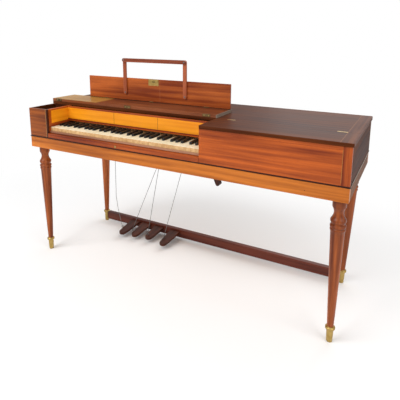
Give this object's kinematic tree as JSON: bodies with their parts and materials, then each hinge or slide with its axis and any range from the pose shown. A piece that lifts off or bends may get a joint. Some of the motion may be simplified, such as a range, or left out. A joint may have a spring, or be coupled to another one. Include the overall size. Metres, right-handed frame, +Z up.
{
  "type": "square piano",
  "caption": "Square piano on a turned-leg stand: folding lid, raised fallboard with music rack, moving keys, pedals with pull wires and a knee lever.",
  "frame": {"origin": "middle of the footprint, on the floor", "axes": "+Z up, +X to the player's right along the keyboard, -Y towards the player"},
  "size_m": [1.548, 0.552, 1.0198],
  "materials": {
    "mahogany": "french-polished reddish-brown mahogany",
    "light_mahogany": "lighter orange-brown mahogany, polished",
    "dark_mahogany": "dark stained mahogany, worn satin",
    "satinwood": "golden satinwood veneer, satin",
    "ivory": "limewood levers with aged cream ivory tops",
    "ebony": "black ebony-topped levers",
    "brass": "aged brass, satin",
    "iron_wire": "grey iron wire",
    "pine": "plain pine",
    "oak": "plain oak",
    "spruce": "spruce soundboard"
  },
  "bodies": {
    "case": {"bottom_board": "pine", "left_end": "mahogany", "right_end": "mahogany", "back_board": "mahogany", "front_panel_right": "mahogany", "front_panel_left": "mahogany", "left_cheek": "satinwood", "belly_rail": "mahogany", "lock_rail": "mahogany", "nameboard": "satinwood", "soundboard": "spruce", "wrest_plank": "oak", "hitch_rail": "oak", "strings": "iron_wire", "key_frame": "pine", "hammer_rail": "oak", "stand_front_rail": "light_mahogany", "stand_back_rail": "light_mahogany", "stand_left_rail": "light_mahogany", "stand_right_rail": "light_mahogany", "leg_front_left": "mahogany", "leg_front_right": "mahogany", "leg_back_left": "mahogany", "leg_back_right": "mahogany", "sabot_front_left": "brass", "sabot_front_right": "brass", "sabot_back_left": "brass", "sabot_back_right": "brass", "pedal_rail": "dark_mahogany", "bass_keys": "ivory", "treble_keys": "ivory"},
    "lid": {"main_lid": "mahogany"},
    "right_lid_flap": {"right_flap": "mahogany"},
    "keyboard_lid_flap": {"keyboard_flap": "mahogany"},
    "fall": {"fallboard": "mahogany", "lock_plate": "brass"},
    "left_arm": {"rack_arm_left": "mahogany"},
    "right_arm": {"rack_arm_right": "mahogany"},
    "rack_top": {"rack_bar": "mahogany"},
    "knee": {"knee_lever": "dark_mahogany"},
    "pedal_lever_1": {"pedal_1": "dark_mahogany"},
    "wire_1": {"pull_wire_1": "iron_wire"},
    "pedal_lever_2": {"pedal_2": "dark_mahogany"},
    "wire_2": {"pull_wire_2": "iron_wire"},
    "pedal_lever_3": {"pedal_3": "dark_mahogany"},
    "wire_3": {"pull_wire_3": "iron_wire"},
    "pedal_lever_4": {"pedal_4": "dark_mahogany"},
    "wire_4": {"pull_wire_4": "iron_wire"},
    "key_c_lever": {"key_c": "ivory"},
    "key_c_sharp_lever": {"key_c_sharp": "ebony"},
    "key_d_lever": {"key_d": "ivory"},
    "key_d_sharp_lever": {"key_d_sharp": "ebony"},
    "key_e_lever": {"key_e": "ivory"},
    "key_f_lever": {"key_f": "ivory"},
    "key_f_sharp_lever": {"key_f_sharp": "ebony"},
    "key_g_lever": {"key_g": "ivory"},
    "key_g_sharp_lever": {"key_g_sharp": "ebony"},
    "key_a_lever": {"key_a": "ivory"},
    "key_a_sharp_lever": {"key_a_sharp": "ebony"},
    "key_b_lever": {"key_b": "ivory"}
  },
  "joints": [
    {"name": "lid_hinge", "type": "hinge", "parent": "case", "child": "lid", "pos_m": [0, 0.276, 0.7763], "axis": [-1, 0, 0], "range_deg": [0, 95]},
    {"name": "right_flap_hinge", "type": "hinge", "parent": "lid", "child": "right_lid_flap", "pos_m": [0.462, -0.11, 0.79015], "axis": [-1, 0, 0], "range_deg": [0, 180]},
    {"name": "keyboard_flap_hinge", "type": "hinge", "parent": "lid", "child": "keyboard_lid_flap", "pos_m": [-0.231, -0.11, 0.79015], "axis": [1, 0, 0], "range_deg": [0, 168]},
    {"name": "fallboard_hinge", "type": "hinge", "parent": "keyboard_lid_flap", "child": "fall", "pos_m": [-0.231, 0.046, 0.8043], "axis": [-1, 0, 0], "range_deg": [0, 90]},
    {"name": "rack_left_pivot", "type": "hinge", "parent": "fall", "child": "left_arm", "pos_m": [-0.4, 0.0357, 0.8443], "axis": [0, 1, 0], "range_deg": [0, 88]},
    {"name": "rack_right_pivot", "type": "hinge", "parent": "fall", "child": "right_arm", "pos_m": [-0.045, 0.0357, 0.8443], "axis": [0, 1, 0], "range_deg": [0, 88]},
    {"name": "rack_bar_pivot", "type": "hinge", "parent": "left_arm", "child": "rack_top", "pos_m": [-0.4, 0.0357, 1.0103], "axis": [0, 1, 0], "range_deg": [-88, 0]},
    {"name": "knee_lever_pivot", "type": "hinge", "parent": "case", "child": "knee", "pos_m": [0.192, -0.17, 0.6234], "axis": [0, 1, 0], "range_deg": [0, 18], "stiffness_Nm_per_rad": 0.4, "springref_deg": -17.19},
    {"name": "pedal_1_pivot", "type": "hinge", "parent": "case", "child": "pedal_lever_1", "pos_m": [-0.473, 0.17974, 0.046], "axis": [1, 0, 0], "range_deg": [0, 5.5], "stiffness_Nm_per_rad": 2, "springref_deg": -11.46},
    {"name": "wire_1_pull", "type": "slide", "parent": "case", "child": "wire_1", "axis": [0, 0, -1], "range_m": [0, 0.0095]},
    {"name": "pedal_2_pivot", "type": "hinge", "parent": "case", "child": "pedal_lever_2", "pos_m": [-0.394, 0.17974, 0.046], "axis": [1, 0, 0], "range_deg": [0, 5.5], "stiffness_Nm_per_rad": 2, "springref_deg": -11.46},
    {"name": "wire_2_pull", "type": "slide", "parent": "case", "child": "wire_2", "axis": [0, 0, -1], "range_m": [0, 0.0095]},
    {"name": "pedal_3_pivot", "type": "hinge", "parent": "case", "child": "pedal_lever_3", "pos_m": [-0.307, 0.17974, 0.046], "axis": [1, 0, 0], "range_deg": [0, 5.5], "stiffness_Nm_per_rad": 2, "springref_deg": -11.46},
    {"name": "wire_3_pull", "type": "slide", "parent": "case", "child": "wire_3", "axis": [0, 0, -1], "range_m": [0, 0.0095]},
    {"name": "pedal_4_pivot", "type": "hinge", "parent": "case", "child": "pedal_lever_4", "pos_m": [-0.199, 0.17974, 0.046], "axis": [1, 0, 0], "range_deg": [0, 5.5], "stiffness_Nm_per_rad": 2, "springref_deg": -11.46},
    {"name": "wire_4_pull", "type": "slide", "parent": "case", "child": "wire_4", "axis": [0, 0, -1], "range_m": [0, 0.0095]},
    {"name": "key_c_pivot", "type": "hinge", "parent": "case", "child": "key_c_lever", "pos_m": [-0.21635, -0.08, 0.667], "axis": [1, 0, 0], "range_deg": [0, 2.6], "stiffness_Nm_per_rad": 0.8, "springref_deg": -5.73},
    {"name": "key_c_sharp_pivot", "type": "hinge", "parent": "case", "child": "key_c_sharp_lever", "pos_m": [-0.20703, -0.08, 0.667], "axis": [1, 0, 0], "range_deg": [0, 2.6], "stiffness_Nm_per_rad": 0.8, "springref_deg": -5.73},
    {"name": "key_d_pivot", "type": "hinge", "parent": "case", "child": "key_d_lever", "pos_m": [-0.19305, -0.08, 0.667], "axis": [1, 0, 0], "range_deg": [0, 2.6], "stiffness_Nm_per_rad": 0.8, "springref_deg": -5.73},
    {"name": "key_d_sharp_pivot", "type": "hinge", "parent": "case", "child": "key_d_sharp_lever", "pos_m": [-0.17907, -0.08, 0.667], "axis": [1, 0, 0], "range_deg": [0, 2.6], "stiffness_Nm_per_rad": 0.8, "springref_deg": -5.73},
    {"name": "key_e_pivot", "type": "hinge", "parent": "case", "child": "key_e_lever", "pos_m": [-0.16975, -0.08, 0.667], "axis": [1, 0, 0], "range_deg": [0, 2.6], "stiffness_Nm_per_rad": 0.8, "springref_deg": -5.73},
    {"name": "key_f_pivot", "type": "hinge", "parent": "case", "child": "key_f_lever", "pos_m": [-0.14645, -0.08, 0.667], "axis": [1, 0, 0], "range_deg": [0, 2.6], "stiffness_Nm_per_rad": 0.8, "springref_deg": -5.73},
    {"name": "key_f_sharp_pivot", "type": "hinge", "parent": "case", "child": "key_f_sharp_lever", "pos_m": [-0.1376, -0.08, 0.667], "axis": [1, 0, 0], "range_deg": [0, 2.6], "stiffness_Nm_per_rad": 0.8, "springref_deg": -5.73},
    {"name": "key_g_pivot", "type": "hinge", "parent": "case", "child": "key_g_lever", "pos_m": [-0.12315, -0.08, 0.667], "axis": [1, 0, 0], "range_deg": [0, 2.6], "stiffness_Nm_per_rad": 0.8, "springref_deg": -5.73},
    {"name": "key_g_sharp_pivot", "type": "hinge", "parent": "case", "child": "key_g_sharp_lever", "pos_m": [-0.1115, -0.08, 0.667], "axis": [1, 0, 0], "range_deg": [0, 2.6], "stiffness_Nm_per_rad": 0.8, "springref_deg": -5.73},
    {"name": "key_a_pivot", "type": "hinge", "parent": "case", "child": "key_a_lever", "pos_m": [-0.09985, -0.08, 0.667], "axis": [1, 0, 0], "range_deg": [0, 2.6], "stiffness_Nm_per_rad": 0.8, "springref_deg": -5.73},
    {"name": "key_a_sharp_pivot", "type": "hinge", "parent": "case", "child": "key_a_sharp_lever", "pos_m": [-0.0854, -0.08, 0.667], "axis": [1, 0, 0], "range_deg": [0, 2.6], "stiffness_Nm_per_rad": 0.8, "springref_deg": -5.73},
    {"name": "key_b_pivot", "type": "hinge", "parent": "case", "child": "key_b_lever", "pos_m": [-0.07655, -0.08, 0.667], "axis": [1, 0, 0], "range_deg": [0, 2.6], "stiffness_Nm_per_rad": 0.8, "springref_deg": -5.73}
  ],
  "couplings": [
    {"joint": "rack_right_pivot", "follows": "rack_left_pivot", "ratio": 1},
    {"joint": "rack_bar_pivot", "follows": "rack_left_pivot", "ratio": -1},
    {"joint": "wire_1_pull", "follows": "pedal_1_pivot", "m_per_rad": 0.085},
    {"joint": "wire_2_pull", "follows": "pedal_2_pivot", "m_per_rad": 0.085},
    {"joint": "wire_3_pull", "follows": "pedal_3_pivot", "m_per_rad": 0.093},
    {"joint": "wire_4_pull", "follows": "pedal_4_pivot", "m_per_rad": 0.085}
  ]
}
